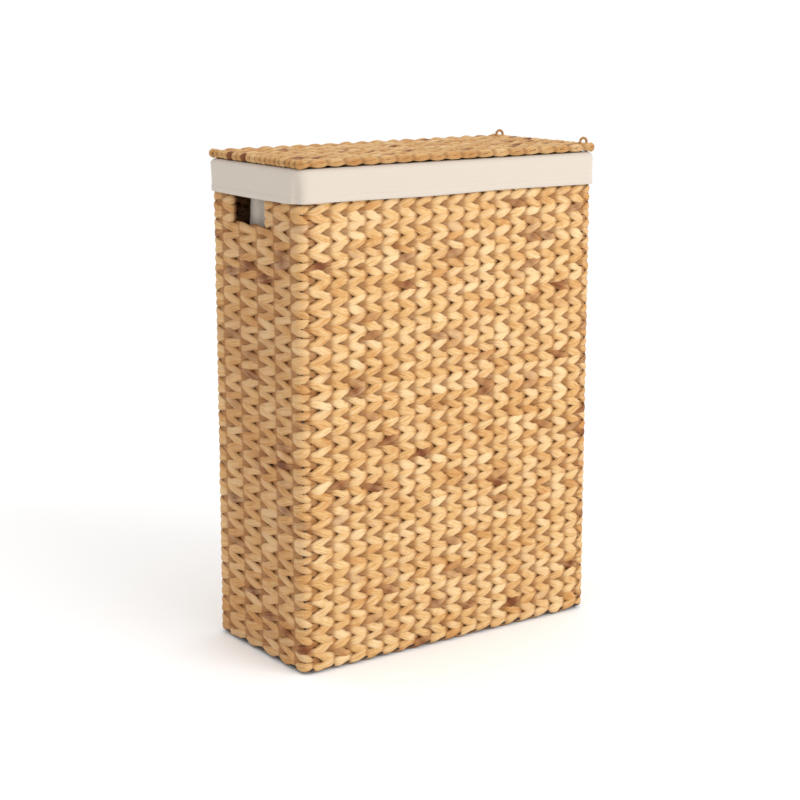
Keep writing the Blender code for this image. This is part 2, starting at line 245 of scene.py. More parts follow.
def makeFibreGrain():
    # long fibres that run along a strand: a height for bump, and a mask of dark streaks
    inputs = [
        ("Vector", "NodeSocketVector", None),
        ("Along", "NodeSocketFloat", 30.0),
        ("Across", "NodeSocketFloat", 9.0),
    ]
    outputs = [("Height", "NodeSocketFloat"), ("Streaks", "NodeSocketFloat"), ("Mottle", "NodeSocketFloat")]
    group, given, result = effectGroup("fibreGrain", inputs, outputs)
    parts = group.nodes.new("ShaderNodeSeparateXYZ")
    group.links.new(given.outputs["Vector"], parts.inputs[0])
    # v runs round the strand, so it is bent into a circle to leave no seam
    turn = mathNode(group, "MULTIPLY", parts.outputs["Y"], 2 * pi)
    joined = group.nodes.new("ShaderNodeCombineXYZ")
    fibreX = mathNode(group, "MULTIPLY", parts.outputs["X"], given.outputs["Along"])
    group.links.new(fibreX, joined.inputs["X"])
    circleX = mathNode(group, "MULTIPLY", mathNode(group, "COSINE", turn, 0), given.outputs["Across"])
    circleY = mathNode(group, "MULTIPLY", mathNode(group, "SINE", turn, 0), given.outputs["Across"])
    group.links.new(circleX, joined.inputs["Y"])
    ownPlace = mathNode(group, "MULTIPLY", parts.outputs["Z"], 50.0)  # far from every other strand's
    group.links.new(mathNode(group, "ADD", circleY, ownPlace), joined.inputs["Z"])
    fine = noiseNode(group, joined.outputs[0], 1.0, 4.0, 0.6)
    group.links.new(fine.outputs["Fac"], result.inputs["Height"])
    broad = noiseNode(group, joined.outputs[0], 0.45, 2.0, 0.5)
    group.links.new(broad.outputs["Fac"], result.inputs["Mottle"])
    sharp = group.nodes.new("ShaderNodeMapRange")
    sharp.inputs["From Min"].default_value = 0.56
    sharp.inputs["From Max"].default_value = 0.74
    group.links.new(fine.outputs["Fac"], sharp.inputs["Value"])
    group.links.new(sharp.outputs[0], result.inputs["Streaks"])
    return group


def makeClothWeave():
    # plain weave: threads over and under each other, as a height, and slubs as a mask
    inputs = [("Vector", "NodeSocketVector", None), ("Threads", "NodeSocketFloat", 900.0)]
    outputs = [("Height", "NodeSocketFloat"), ("Slubs", "NodeSocketFloat")]
    group, given, result = effectGroup("clothWeave", inputs, outputs)
    parts = group.nodes.new("ShaderNodeSeparateXYZ")
    group.links.new(given.outputs["Vector"], parts.inputs[0])
    threads = []
    for axis in ("X", "Y"):
        phase = mathNode(group, "MULTIPLY", parts.outputs[axis], given.outputs["Threads"])
        threads.append(mathNode(group, "SINE", phase))
    group.links.new(mathNode(group, "MULTIPLY", threads[0], threads[1]), result.inputs["Height"])
    slub = noiseNode(group, stretched(group, given.outputs["Vector"], (30, 500, 1)), 1.0, 2.0)
    group.links.new(slub.outputs["Fac"], result.inputs["Slubs"])
    return group


fibreGrain = makeFibreGrain()
clothWeave = makeClothWeave()


def newMaterial(name):
    material = bpy.data.materials.new(name)
    material.use_nodes = True
    tree = material.node_tree
    return material, tree, tree.nodes["Principled BSDF"]


def placeGroup(tree, group, vector, **values):
    node = tree.nodes.new("ShaderNodeGroup")
    node.node_tree = group
    tree.links.new(vector, node.inputs["Vector"])
    for label, value in values.items():
        node.inputs[label].default_value = value
    return node


def bumpNode(tree, height, strength, distance, under=None):
    node = tree.nodes.new("ShaderNodeBump")
    node.inputs["Strength"].default_value = strength
    node.inputs["Distance"].default_value = distance
    tree.links.new(height, node.inputs["Height"])
    if under is not None:
        tree.links.new(under, node.inputs["Normal"])
    return node.outputs["Normal"]


def uvVector(tree, layer):
    node = tree.nodes.new("ShaderNodeUVMap")
    node.uv_map = layer
    return node.outputs["UV"]


hyacinthLook = {
    "pale": shade(225, 196, 149),
    "tan": shade(209, 169, 113),
    "honey": shade(184, 132, 77),
    "orange": shade(196, 122, 56),
    "russet": shade(138, 84, 50),
    "plum": shade(106, 60, 34),
    # the brown that the painted shade darkens towards, in recesses and at the edges of leaves
    "paintedShade": shade(132, 80, 38),
    "edges": 0.35,  # how far the painted shade darkens the edges of a leaf
    "roughness": 0.6,
    "fibreDepth": 0.0011,
}


def hyacinth(name, look=hyacinthLook):
    material, tree, shader = newMaterial(name)
    strand = tree.nodes.new("ShaderNodeAttribute")
    strand.attribute_name = "strandTone"
    tone = tree.nodes.new("ShaderNodeSeparateColor")
    tree.links.new(strand.outputs["Color"], tone.inputs[0])
    along = tree.nodes.new("ShaderNodeSeparateXYZ")
    tree.links.new(uvVector(tree, "strandUV"), along.inputs[0])
    place = tree.nodes.new("ShaderNodeCombineXYZ")
    tree.links.new(along.outputs["X"], place.inputs["X"])
    tree.links.new(along.outputs["Y"], place.inputs["Y"])
    tree.links.new(tone.outputs["Blue"], place.inputs["Z"])
    grain = placeGroup(tree, fibreGrain, place.outputs[0], Along=40.0, Across=3.4)
    shifted = mathNode(tree, "MULTIPLY_ADD", grain.outputs["Height"], 2.0, -1.0)
    lightness = mathNode(tree, "ADD", tone.outputs["Red"], shifted)
    dry = ramp(tree, lightness, [(0.08, look["honey"]), (0.5, look["tan"]), (0.85, look["pale"])])
    stains = [(0.0, look["orange"]), (0.55, look["russet"]), (1.0, look["plum"])]
    stainRamp = ramp(tree, tone.outputs["Green"], stains)
    patchy = mathNode(tree, "ADD", grain.outputs["Mottle"], 0.6)
    stainAmount = mathNode(tree, "MULTIPLY", tone.outputs["Green"], patchy)
    stained = mixColour(tree, "MIX", stainAmount, dry, stainRamp)
    streaky = mathNode(tree, "MULTIPLY", grain.outputs["Streaks"], 0.45)
    streaked = mixColour(tree, "MIX", streaky, stained, look["russet"])
    # painted shade: the colour darkens towards the shade brown at the edges of each leaf
    acrossLeaf = mathNode(tree, "SINE", mathNode(tree, "MULTIPLY", along.outputs["Y"], 2 * pi), 0)
    edgeShadeMask = mathNode(tree, "POWER", mathNode(tree, "ABSOLUTE", acrossLeaf, 0), 5.0)
    edges = mathNode(tree, "MULTIPLY", edgeShadeMask, look["edges"])
    edgeShaded = mixColour(tree, "MIX", edges, streaked, look["paintedShade"])
    # painted shade: where a strand stands back and tucks in behind its neighbour, its colour is darkened
    # towards the shade brown
    recessShade = tree.nodes.new("ShaderNodeMapRange")
    recessShade.interpolation_type = "SMOOTHSTEP"
    for label, value in (("From Min", 0.42), ("From Max", 0.84), ("To Min", 0.66), ("To Max", 0.0)):
        recessShade.inputs[label].default_value = value
    tree.links.new(strand.outputs["Alpha"], recessShade.inputs["Value"])
    shaded = mixColour(tree, "MIX", recessShade.outputs[0], edgeShaded, look["paintedShade"])
    tree.links.new(shaded, shader.inputs["Base Color"])
    tree.links.new(bumpNode(tree, grain.outputs["Height"], 1.0, look["fibreDepth"]), shader.inputs["Normal"])
    rough = mathNode(tree, "MULTIPLY_ADD", grain.outputs["Mottle"], 0.2, look["roughness"] - 0.1)
    tree.links.new(rough, shader.inputs["Roughness"])
    shader.inputs["Specular IOR Level"].default_value = 0.2
    return material


cottonLook = {
    "cloth": shade(195, 184, 171),
    "shadowed": shade(185, 173, 160),
    "stitch": shade(204, 194, 182),
    "roughness": 0.9,
    "hem": 0.006,
    "stitchPitch": 0.0035,
}


def cotton():
    material, tree, shader = newMaterial("linerCotton")
    uv = uvVector(tree, "clothUV")
    weave = placeGroup(tree, clothWeave, uv, Threads=5200.0)
    parts = tree.nodes.new("ShaderNodeSeparateXYZ")
    tree.links.new(uv, parts.inputs[0])
    soft = mathNode(tree, "MULTIPLY", weave.outputs["Slubs"], 0.5)
    colour = mixColour(tree, "MIX", soft, cottonLook["cloth"], cottonLook["shadowed"])
    # a row of stitches just above the hem
    fromRow = mathNode(tree, "ABSOLUTE", mathNode(tree, "SUBTRACT", parts.outputs["Y"], cottonLook["hem"]), 0)
    nearRow = mathNode(tree, "LESS_THAN", fromRow, 0.0004)
    phase = mathNode(tree, "MULTIPLY", parts.outputs["X"], 2 * pi / cottonLook["stitchPitch"])
    dash = mathNode(tree, "GREATER_THAN", mathNode(tree, "SINE", phase, 0), -0.5)
    stitches = mathNode(tree, "MULTIPLY", nearRow, dash)
    colour = mixColour(tree, "MIX", stitches, colour, cottonLook["stitch"])
    tree.links.new(colour, shader.inputs["Base Color"])
    height = mathNode(tree, "ADD", weave.outputs["Height"], mathNode(tree, "MULTIPLY", stitches, 3.0))
    tree.links.new(bumpNode(tree, height, 0.35, 0.00012), shader.inputs["Normal"])
    shader.inputs["Roughness"].default_value = cottonLook["roughness"]
    shader.inputs["Sheen Weight"].default_value = 0.25
    shader.inputs["Sheen Roughness"].default_value = 0.5
    return material


def cageSteel():
    material, tree, shader = newMaterial("cageSteel")
    coords = tree.nodes.new("ShaderNodeTexCoord")
    specks = noiseNode(tree, coords.outputs["Object"], 260.0, 4.0)
    dark, worn, rusty = shade(44, 38, 34), shade(66, 56, 48), shade(112, 84, 60)
    colour = ramp(tree, specks.outputs["Fac"], [(0.35, dark), (0.62, worn), (0.8, rusty)])
    tree.links.new(colour, shader.inputs["Base Color"])
    rough = mathNode(tree, "MULTIPLY_ADD", specks.outputs["Fac"], 0.3, 0.35)
    tree.links.new(rough, shader.inputs["Roughness"])
    tree.links.new(bumpNode(tree, specks.outputs["Fac"], 0.3, 0.0002), shader.inputs["Normal"])
    shader.inputs["Metallic"].default_value = 0.6
    return material


# Strands

moulds = {}


def strandMould(rings, sides, step):
    # a closed ring of tube that every strand of this size is bent from, with the ring and side of each
    # vertex. step is the length from ring to ring, so that U is in metres
    if (rings, sides, step) in moulds:
        return moulds[rings, sides, step]
    shape = bmesh.new()
    bmesh.ops.create_grid(shape, x_segments=rings, y_segments=sides, size=1.0)
    uv = shape.loops.layers.uv.new("strandUV")
    ringLayer = shape.verts.layers.int.new("ring")
    sideLayer = shape.verts.layers.int.new("side")
    for vert in shape.verts:
        vert[ringLayer] = round((vert.co.x + 1) / 2 * rings)
        vert[sideLayer] = round((vert.co.y + 1) / 2 * sides)
        for loop in vert.link_loops:
            loop[uv].uv = (vert[ringLayer] * step, vert[sideLayer] / sides)
    for vert in shape.verts:
        far, near = 2 * pi * vert[ringLayer] / rings, 2 * pi * vert[sideLayer] / sides
        reach = rings + sides / 4 * cos(near)
        vert.co = (reach * cos(far), reach * sin(far), sides / 4 * sin(near))
    bmesh.ops.remove_doubles(shape, verts=shape.verts, dist=0.01)
    bmesh.ops.recalc_face_normals(shape, faces=shape.faces)
    mesh = bpy.data.meshes.new("strandMould")
    shape.to_mesh(mesh)
    shape.free()
    mesh.shade_smooth()
    count = len(mesh.vertices)
    ring, side = np.empty(count, int), np.empty(count, int)
    mesh.attributes["ring"].data.foreach_get("value", ring)
    mesh.attributes["side"].data.foreach_get("value", side)
    moulds[rings, sides, step] = mesh, ring % rings, side % sides
    return moulds[rings, sides, step]


def bendStrand(shape, centres, halfWidth, halfThickness, across, tone, length, sides, ribs):
    # adds one strand to shape. across is the way its width faces, and tone colours each ring of it
    rings = len(centres)
    mould, ring, side = strandMould(rings, sides, round(float(abs(length[2] - length[1])), 6))
    ahead = np.roll(centres, -1, 0) - np.roll(centres, 1, 0)
    ahead /= np.linalg.norm(ahead, axis=1)[:, None]
    wide = across - (ahead @ across)[:, None] * ahead
    wide /= np.linalg.norm(wide, axis=1)[:, None]
    thick = np.cross(ahead, wide)
    angle = 2 * pi * side / sides
    ripple = 1 + ribs * np.sin(3 * angle + length[ring] * 90 + tone[0, 2] * 40)
    points = centres[ring]
    points = points + thick[ring] * (halfThickness[ring] * np.cos(angle) * ripple)[:, None]
    points = points + wide[ring] * (halfWidth[ring] * np.sin(angle) * ripple)[:, None]
    mesh = mould.copy()
    mesh.vertices.foreach_set("co", points.ravel())
    colours = mesh.attributes.new("strandTone", "FLOAT_COLOR", "POINT")
    colours.data.foreach_set("color", tone[ring].ravel())
    shape.from_mesh(mesh)
    bpy.data.meshes.remove(mesh)


def wander(rng, place, span, slowest, fastest, amount):
    # a smooth random drift that repeats every span
    drift = np.zeros(len(place))
    for _ in range(5):
        waves = rng.integers(slowest, fastest)
        drift += np.sin(2 * pi * waves * place / span + rng.uniform(0, 2 * pi))
    return drift * amount / 5 ** 0.5


def toneOf(rng, place, span, swing, darkShare=0.09):
    # lightness, stain, an own number and how far out it stands, for each ring of a strand; the material
    # paints shade where it stands back.
    # The first two change from leaf to leaf
    leaves = int(span) + 1
    own = rng.uniform(0, 1)
    light = 0.56 + rng.normal(0, 0.07) + rng.normal(0, 0.15, leaves)
    stain = rng.uniform(0, 0.2, leaves)
    stained = rng.uniform(0, 1, leaves) < darkShare
    stain[stained] = rng.uniform(0.3, 1, stained.sum()) ** 1.3
    light[-1], stain[-1] = light[0], stain[0]
    at = np.mod(place, span)
    knots = np.arange(leaves)
    tone = np.empty((len(place), 4))
    tone[:, 0] = np.interp(at, knots, light) + wander(rng, place, span, 40, 160, 0.05)
    tone[:, 1] = np.interp(at, knots, stain)
    tone[:, 2] = own
    tone[:, 3] = (swing + 1) / 2
    return np.clip(tone, 0, 1)


def onEndWall(column):
    # 1 along the end walls and 0 along the long ones, with the change spread over two columns
    half = columns / 2
    along = np.mod(column + 1, half) - 1
    return np.clip(np.maximum(1 - along, along - wallShape["longColumns"] + 1) / 2, 0, 1)


def nearCorner(column, inside, spread):
    # 1 at the corner posts, or as many columns inside them along the long walls, falling to 0 round about
    along = np.mod(column + 1, columns / 2) - 1
    away = np.minimum(np.abs(along - inside), np.abs(along - wallShape["longColumns"] + inside))
    return np.exp(-(away / spread) ** 2)


def underHandHole(column):
    # 1 between the stakes beside either hand hole
    place = np.mod(column, columns)
    inside = np.zeros(len(place))
    for first, last in (("rightFront", "rightBack"), ("leftBack", "leftFront")):
        inside += np.clip(np.minimum(place - jambColumns[first], jambColumns[last] - place) + 0.5, 0, 1)
    return inside


def lagAt(column, build):
    if "endLag" not in build:
        return build["lag"]
    lag = build["lag"] + (build["endLag"] - build["lag"]) * onEndWall(column)
    # the first gap past each end wall lies close to the corner
    past = np.mod(column + columns / 4, columns / 2) - columns / 4
    return lag + (build["cornerGap"] - 0.5 - lag) * np.exp(-((past - build["cornerGap"]) / 0.45) ** 2)


def twinedPair(first, last, closed, build):
    # the paths of two strands that twist past the stakes from first to last. Closed, they are two rings.
    # Otherwise they are one strand, out and back, round the stakes at both ends.
    # Each path is (column, slide along, swing out, climb), with the last two from -1 to 1.
    count = (last - first) * build["perColumn"]
    column = first + np.arange(count) / build["perColumn"]
    swing = np.cos(pi * (column - first - lagAt(column, build)))
    climb = np.sin(pi * (column - first))
    still = np.zeros(count)
    if closed:
        return [(column, still, swing, climb), (column, still, -swing, -climb)]
    angle = pi * (np.arange(build["turnSteps"]) + 0.5) / build["turnSteps"]
    farSign = cos(pi * (last - first))
    none = np.zeros(len(angle))
    backward = last - np.arange(count) / build["perColumn"]
    backSwing = -np.cos(pi * (backward - first - lagAt(backward, build)))
    backClimb = -np.sin(pi * (backward - first))
    path = (
        np.concatenate([column, none + last, backward, none + first]),
        np.concatenate([still, np.sin(angle), still, -np.sin(angle)]),
        np.concatenate([swing, farSign * np.cos(angle), backSwing, -np.cos(angle)]),
        np.concatenate([climb, none, backClimb, none]),
    )
    return [path]


def leafWidths(swing, build, rng, column, span):
    # a strand is wide where it lies in front of a stake or behind it, and narrow in the gaps between
    flat = np.clip(np.abs(swing), 0, 1) ** 0.8
    half = build["halfWidthInGap"] + (build["halfWidth"] - build["halfWidthInGap"]) * flat
    half *= 1 + wander(rng, column, span, 12, 60, build["unevenWidth"])
    thick = build["halfThickness"] * (1 + wander(rng, column, span, 12, 60, 0.07))
    return half, thick


def finishPiece(name, shape, material, body):
    mesh = bpy.data.meshes.new(name)
    shape.to_mesh(mesh)
    shape.free()
    mesh.materials.append(material)
    mesh.shade_smooth()
    piece = bpy.data.objects.new(name, mesh)
    bpy.context.scene.collection.objects.link(piece)
    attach(piece, body)
    return piece


# The twined walls

def rowRuns(height, half):
    # where a row of the walls runs, as (first column, last column, closed). Rows beside the hand holes
    # turn back at them, and the top row leaves the hinge end free for the loops.
    corner = wallShape["longColumns"]
    shortColumns = sum(wallShape["endColumns"])
    if height + half > rimZ:
        return [(corner + shortColumns, columns + corner, False)]
    if holeLow < height < holeHigh:
        return [
            (jambColumns["leftFront"] - columns, jambColumns["rightFront"], False),
            (jambColumns["rightBack"], jambColumns["leftBack"], False),
        ]
    return [(0, columns, True)]


def twinedWalls(material):
    rng = np.random.default_rng(wallShape["seed"])
    build = strandShape
    heights = np.linspace(wallShape["firstRow"], wallShape["lastRow"], wallShape["rows"])
    pitch = heights[1] - heights[0]
    up = np.array([0.0, 0.0, 1.0])
    perBand = 6
    pieces = []
    for band in range(0, len(heights), perBand):
        shape = bmesh.new()
        for row in range(band, min(band + perBand, len(heights))):
            lean = 1 if row % 2 == 0 else -1
            reach = build["reachUnderCuff"] if heights[row] > cuffFoot else build["reach"]
            for first, last, closed in rowRuns(heights[row], pitch / 2):
                for column, slide, swing, climb in twinedPair(first, last, closed, build):
                    swingBy = reach + (min(build["endReach"], reach) - reach) * onEndWall(column)
                    swingBy *= 1 - (1 - build["cornerReach"]) * nearCorner(column, 0, 0.4)
                    out = swingBy * swing + wander(rng, column, columns, 10, 50, 0.00025)
                    drift = wander(rng, column, columns, 6, 50, 0.0006)
                    if row == 0:
                        climb = climb * build["bottomRise"]
                    if heights[row] < holeLow < heights[row] + pitch:
                        level = underHandHole(column)
                        climb = climb * (1 - level * (1 - build["atHandHole"]))
                        drift = drift * (1 - level)
                    riseBy = build["rise"] + (build["endRise"] - build["rise"]) * onEndWall(column)
                    high = heights[row] + lean * riseBy * climb + drift
                    half, thick = leafWidths(swing, build, rng, column, columns)
                    half *= 1 - (1 - build["besideCorner"]) * nearCorner(column, build["cornerGap"], 0.22)
                    thick *= 1 - (1 - build["endThickness"]) * onEndWall(column)
                    centres = onWall(column, slide * build["turn"], out, high)
                    # how far out each ring stands, which the material turns into painted shade where it
                    # stands back; the end walls get less of it
                    shown = swing * (1 + build["endPlain"] * onEndWall(column))
                    tone = toneOf(rng, column, columns, shown)
                    # the end walls are made darker and browner in colour
                    tone[:, 0] += build["endTone"] * onEndWall(column)
                    tone[:, 1] += build["endBrowning"] * onEndWall(column) * (1 - tone[:, 1]) ** 2
                    length = column * wallRound / columns
                    bendStrand(shape, centres, half, thick, up, tone, length, build["sides"], 0.05)
        pieces.append(finishPiece(f"twined_rows_{band // perBand + 1}", shape, material, "hamper"))
    return pieces


# The lid and the base, twined flat

def flatTwine(name, body, material, shape):
    # rows along X between two half lengths, twined past wires across the panel
    rng = np.random.default_rng(shape["seed"])
    up = np.array([0.0, 1.0, 0.0])
    made = bmesh.new()
    rows = np.linspace(-shape["halfSpan"], shape["halfSpan"], shape["rows"])
    count = shape["columns"]
    knots = np.arange(count + 1)
    wires = -halfX + 2 * halfX * knots[1:-1] / count
    places = np.concatenate([[-shape["halfLength"]], wires, [shape["halfLength"]]])
    for number, across in enumerate(rows):
        lean = 1 if number % 2 == 0 else -1
        edge = shape["edgeRod"] and number in (0, len(rows) - 1)
        for column, slide, swing, climb in twinedPair(0, count, False, shape):
            swingBy = shape["edgeReach"] if edge else shape["reach"]
            climbBy = shape["edgeRise"] if edge else shape["rise"]
            turning = np.where(slide != 0, shape["endReach"], swingBy)
            x = np.interp(column, knots, places) + slide * shape["endReach"]
            y = across + lean * climbBy * climb + wander(rng, column, count, 4, 18, 0.0004)
            z = shape["height"] + turning * swing + wander(rng, column, count, 4, 18, 0.0002)
            half, thick = leafWidths(swing, shape, rng, column, count)
            if edge:
                half *= shape["edgeHalfWidth"] / shape["halfWidth"]
                thick *= shape["edgeHalfThickness"] / shape["halfThickness"]
            centres = np.stack([x, y, z], axis=1)
            # how far out a strand stands, taken both ways, which the material turns into painted shade half
            # way between front and back
            tone = toneOf(rng, column, count, np.abs(swing), shape["darkShare"])
            tone[:, 0] += shape["tone"]
            bendStrand(made, centres, half, thick, up, tone, column * 2 * halfX / count, shape["sides"], 0.05)
    if shape["parting"]:
        partStrands(made, shape["parting"])
    return finishPiece(name, made, material, body)


def partStrands(shape, parting):
    # pushes strands aside where a loop passes between them
    for vert in shape.verts:
        fade = min(max((vert.co.x - parting["from"]) / parting["fade"], 0), 1)
        for side in (-1, 1):
            off = vert.co.y - side * loopY
            if fade > 0 and abs(off) < parting["spread"]:
                share = 1 - parting["gap"] / parting["spread"]
                pushed = (parting["gap"] + abs(off) * share) * (1 if off > 0 else -1)
                vert.co.y += (pushed - off) * fade


lidShape = {
    "rows": 19,
    "columns": 18,
    "halfSpan": halfY,
    "halfLength": halfX,
    "height": lidZ,
    "reach": 0.0027,
    "rise": 0.0026,
    "edgeReach": 0.0024,
    "edgeRise": 0.0014,
    "endReach": 0.0036,
    "edgeRod": True,
    "halfWidth": 0.0062,
    "halfWidthInGap": 0.0050,
    "halfThickness": 0.0021,
    "edgeHalfWidth": 0.0044,
    "edgeHalfThickness": 0.0028,
    "darkShare": 0.14,
    "tone": -0.10,
    "unevenWidth": 0.10,
    "lag": 0.0,
    "perColumn": 8,
    "sides": 8,
    "turnSteps": 6,
    "seed": 7,
    "parting": {"from": halfX - 0.022, "fade": 0.008, "gap": 0.0034, "spread": 0.014},
}

baseShape = {
    **lidShape,
    "rows": 17,
    "halfSpan": halfY - 0.012,
    "halfLength": halfX - 0.012,
    "height": footZ,
    "endReach": 0.0034,
    "edgeRod": False,
    "perColumn": 6,
    "sides": 6,
    "seed": 19,
    "parting": None,
}


# The liner, one sewn bag whose top folds over the rim

linerShape = {
    "foldOut": 0.0078,  # cloth's middle, out from the rim rod's
    "foldIn": 0.0078,
    "cloth": 0.0010,
    "hemWidth": 0.006,
    "hemProud": 0.0006,
    "bagIn": 0.0130,
    "sagAtEnds": 0.006,  # how far the bag falls away from the hand holes
    "corner": 0.0085,
    "bagCorner": 0.070,  # the bag hangs rounder than the rim, with its corners pulled in
    "floorCorner": 0.030,
    "cornerSteps": 12,
    "aroundStep": 0.005,
    "slit": 0.0028,
    "crease": 0.0030,  # depth of the crease at each corner of the cuff
    "creaseAt": 0.30,
    "creaseWidth": 0.20,
}


def linerProfile():
    # rings from the outer hem over the rim, down inside and across the floor, as (out, height, corner, kind)
    low = cuffFoot
    out, inside, bag = linerShape["foldOut"], -linerShape["foldIn"], -linerShape["bagIn"]
    corner = linerShape["corner"]
    rings = []
    hem = linerShape["hemWidth"]
    for part in (0, 0.34, 0.67, 0.96):
        rings.append((out + linerShape["hemProud"], low + hem * part, "hang"))
    rings.append((out, low + hem * 1.06, "hang"))
    for part in np.linspace(0.3, 1, 7):
        rings.append((out, low + (rimZ - low) * part, "hang"))
    for step in range(1, 9):
        angle = pi * step / 8
        rings.append((out * cos(angle), rimZ + out * sin(angle), "rim"))
    slitLow = loopLow.z - 0.0005
    rings.append((inside, (rimZ + slitLow) / 2, "rim"))
    rings.append((inside, slitLow, "rim"))
    rings = [(n, z, corner + n, kind) for n, z, kind in rings]
    tight, round_, floorRound = corner + inside, linerShape["bagCorner"], linerShape["floorCorner"]
    for part in np.linspace(0, 1, 6)[1:]:
        eased = part * part * (3 - 2 * part)
        n = inside + (bag - inside) * eased
        rings.append((n, slitLow - 0.030 * part, tight + (round_ - tight) * eased, "bag"))
    top, bottom = rings[-1][1], bagFloor + 0.008
    for part in np.linspace(0, 1, 24)[1:]:
        rings.append((bag, top + (bottom - top) * part, round_ + (floorRound - round_) * part, "bag"))
    for step in range(1, 4):
        angle = pi / 2 * step / 3
        rings.append((bag - 0.008 * (1 - cos(angle)), bottom - 0.008 * sin(angle), floorRound, "floor"))
    for inset in (0.02, 0.035, 0.05, 0.065):
        rings.append((bag - inset, bagFloor, max(floorRound - inset / 2, 0.004), "floor"))
    return rings


def ringStations():
    # stations round the liner, as (side, fraction of the straight) or (corner, angle)
    def fractions(half, extra=()):
        count = max(2, round(2 * half / linerShape["aroundStep"]))
        places = list(np.linspace(-1, 1, count + 1)) + [e / half for e in extra]
        places = sorted(places)
        kept = [places[0]]
        for place in places[1:]:
            if (place - kept[-1]) * half > 0.0012:
                kept.append(place)
            elif any(abs(place - e / half) < 1e-9 for e in extra):
                kept[-1] = place
        return kept
    straightX = halfX - linerShape["corner"]
    straightY = halfY - linerShape["corner"]
    slit = linerShape["slit"]
    cuts = sorted(side * loopY + s * slit for side in (-1, 1) for s in (-1, 1))
    longWay, shortWay = fractions(straightX), fractions(straightY, cuts)
    stations = []
    for side, way in enumerate((longWay, shortWay, longWay, [-f for f in reversed(shortWay)])):
        stations += [("straight", side, f) for f in way[:-1]]
        stations += [("corner", side, a) for a in np.linspace(0, 1, linerShape["cornerSteps"] + 1)[:-1]]
    return stations


def stationPoint(station, out, corner):
    kind, side, where = station
    hx, hy = halfX + out, halfY + out
    ux, uy = [(1, 0), (0, 1), (-1, 0), (0, -1)][side]  # the way the side runs
    nx, ny = uy, -ux  # outwards
    if kind == "straight":
        half = (hx if ux else hy) - corner
        deep = hy if ux else hx
        return nx * deep + ux * where * half, ny * deep + uy * where * half
    cx, cy = [(1, -1), (1, 1), (-1, 1), (-1, -1)][side]
    angle = -pi / 2 + side * pi / 2 + where * pi / 2
    return cx * (hx - corner) + corner * cos(angle), cy * (hy - corner) + corner * sin(angle)


def creaseAt(station):
    # how deep the cuff creases at a corner, on the side of the long walls
    kind, side, where = station
    if kind != "corner":
        return 0
    centre = linerShape["creaseAt"] if side % 2 else 1 - linerShape["creaseAt"]
    return linerShape["crease"] * np.exp(-((where - centre) / linerShape["creaseWidth"]) ** 2)


def sagAt(station, height, top):
    # how far the bag falls away from an end wall
    kind, side, where = station
    if kind != "straight" or side % 2 == 0:
        return 0
    low = np.exp(-((height - holeLow) / 0.09) ** 2) if height < holeLow else 1
    high = min(1, (top - height) / 0.018)
    return linerShape["sagAtEnds"] * (1 - where ** 4) * low * high


def linerPiece(material):
    rings, stations = linerProfile(), ringStations()
    around, down = len(stations), len(rings) - 1
    shape = bmesh.new()
    bmesh.ops.create_grid(shape, x_segments=around, y_segments=down, size=1.0)
    uv = shape.loops.layers.uv.new("clothUV")
    foldOut = linerShape["foldOut"]
    outer = [Vector((*stationPoint(s, foldOut, linerShape["corner"] + foldOut), 0)) for s in stations]
    steps = [(b - a).length for a, b in zip(outer, outer[1:] + outer[:1])]
    distance = np.concatenate([[0], np.cumsum(steps)])
    drops = [np.hypot(b[0] - a[0], b[1] - a[1]) for a, b in zip(rings, rings[1:])]
    depth = np.concatenate([[0], np.cumsum(drops)])
    grid = {}
    for vert in shape.verts:
        i, j = round((vert.co.x + 1) / 2 * around), round((vert.co.y + 1) / 2 * down)
        grid[i, j] = vert
        for loop in vert.link_loops:
            loop[uv].uv = (distance[i], depth[j])
    slitTop = max(ring[1] for ring in rings if ring[3] == "bag")
    for (i, j), vert in grid.items():
        out, height, corner, kind = rings[j]
        turn = 2 * pi * distance[i] / distance[-1]  # round the hamper, so that waves in it meet
        if kind == "hang":
            hang = (rimZ - height) / (rimZ - cuffFoot)
            wave = 0.5 * sin(8 * turn + 1.3) + 0.35 * sin(20 * turn + 2.1 + height * 60) + 0.3 * sin(4 * turn)
            out += 0.0007 * hang * wave - creaseAt(stations[i % around]) * (0.3 + 0.7 * hang)
            height += 0.0006 * hang * sin(5 * turn + 0.7)
        if kind == "bag":
            out -= sagAt(stations[i % around], height, slitTop)
            out += (0.0009 * sin(6 * turn + height * 14) * sin(height * 9 + turn)
                    + 0.0005 * sin(15 * turn - height * 30))
        x, y = stationPoint(stations[i % around], out, corner)
        vert.co = (x, y, height)
    doomed = []
    for face in shape.faces:
        middle = face.calc_center_median()
        overSlit = middle.x > halfX - 0.012 and abs(abs(middle.y) - loopY) < linerShape["slit"]
        if overSlit and middle.z > loopLow.z - 0.0006:
            doomed.append(face)
    bmesh.ops.delete(shape, geom=doomed, context="FACES")
    bmesh.ops.remove_doubles(shape, verts=shape.verts, dist=1e-6)
    floorTop = bagFloor + 0.001
    last = [e for e in shape.edges if e.is_boundary and max(v.co.z for v in e.verts) < floorTop]
    bmesh.ops.edgeloop_fill(shape, edges=last)
    bmesh.ops.recalc_face_normals(shape, faces=shape.faces)
    piece = finishPiece("liner", shape, material, "hamper")
    thicken = piece.modifiers.new("cloth", "SOLIDIFY")
    thicken.thickness = linerShape["cloth"]
    thicken.offset = 0
    flatLength = float(depth[-5])
    floorWidth = 2 * (halfY - linerShape["bagIn"])
    floorArea = floorWidth * 2 * (halfX - linerShape["bagIn"])
    return piece, float(distance[-1]), flatLength, floorWidth, floorArea


# The hinge loops, two plies of cord twisted together

loopShape = {"plyRadius": 0.0010, "twistRadius": 0.00085, "turns": 13, "rings": 182, "sides": 8, "seed": 5}


